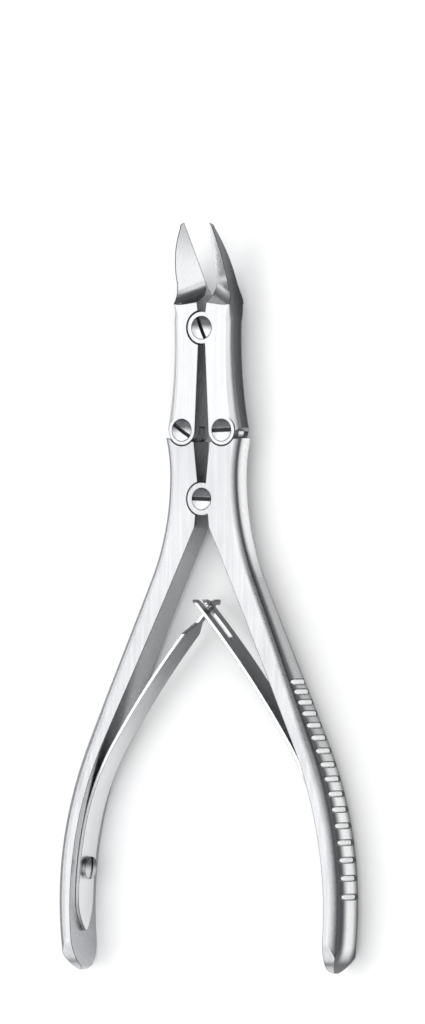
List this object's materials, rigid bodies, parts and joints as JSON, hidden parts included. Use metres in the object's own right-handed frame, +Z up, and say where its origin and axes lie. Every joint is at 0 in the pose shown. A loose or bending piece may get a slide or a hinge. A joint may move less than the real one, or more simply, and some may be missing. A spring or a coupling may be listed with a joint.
{
  "type": "bone cutting forceps",
  "caption": "Double-action forceps with two leaning cutting blades, compound lap joints, grooved bowed handles and leaf springs that reopen them.",
  "frame": {"origin": "middle of the lying instrument's outline, on the surface that it lies on", "axes": "+Y from the handle ends to the blade tips, +X to the right seen from the front face, +Z up out of the front face"},
  "size_m": [0.0824, 0.19, 0.0131],
  "materials": {
    "satin_steel": "fine satin brushed stainless steel",
    "screw_steel": "polished, slightly darker stainless steel",
    "spring_steel": "darker tempered spring steel with bright edges"
  },
  "bodies": {
    "left_handle": {"left_handle": "satin_steel", "left_spring_screw": "screw_steel"},
    "right_handle": {"right_handle": "satin_steel", "right_spring_screw": "screw_steel", "rear_pivot_screw": "screw_steel"},
    "left_jaw": {"left_jaw": "satin_steel", "left_link_screw": "screw_steel"},
    "right_jaw": {"right_jaw": "satin_steel", "right_link_screw": "screw_steel", "front_pivot_screw": "screw_steel"},
    "left_spring": {"left_leaf_spring": "spring_steel"},
    "right_spring": {"right_leaf_spring": "spring_steel"}
  },
  "joints": [
    {"name": "handle_close", "type": "hinge", "parent": "left_handle", "child": "right_handle", "pos_m": [0, 0.025, 0.0065], "axis": [0, 0, -1], "range_deg": [0, 23.65], "stiffness_Nm_per_rad": 2.7},
    {"name": "left_jaw_turn", "type": "hinge", "parent": "left_handle", "child": "left_jaw", "pos_m": [-0.0058, 0.04245, 0.0065], "axis": [0, 0, -1], "range_deg": [0, 19.58]},
    {"name": "right_jaw_turn", "type": "hinge", "parent": "right_handle", "child": "right_jaw", "pos_m": [0.0058, 0.04245, 0.0065], "axis": [0, 0, 1], "range_deg": [0, 19.58]},
    {"name": "left_spring_flex", "type": "hinge", "parent": "left_handle", "child": "left_spring", "pos_m": [-0.0313, -0.0482, 0.0065], "axis": [0, 0, 1], "range_deg": [0, 6.43], "deforming": ["left_leaf_spring"]},
    {"name": "right_spring_flex", "type": "hinge", "parent": "right_handle", "child": "right_spring", "pos_m": [0.0313, -0.0482, 0.0065], "axis": [0, 0, -1], "range_deg": [0, 6.43], "deforming": ["right_leaf_spring"]}
  ],
  "couplings": [
    {"joint": "left_jaw_turn", "follows": "handle_close", "ratio": 0.82766},
    {"joint": "right_jaw_turn", "follows": "handle_close", "ratio": 0.82766},
    {"joint": "left_spring_flex", "follows": "handle_close", "ratio": 0.27175},
    {"joint": "right_spring_flex", "follows": "handle_close", "ratio": 0.27175}
  ]
}
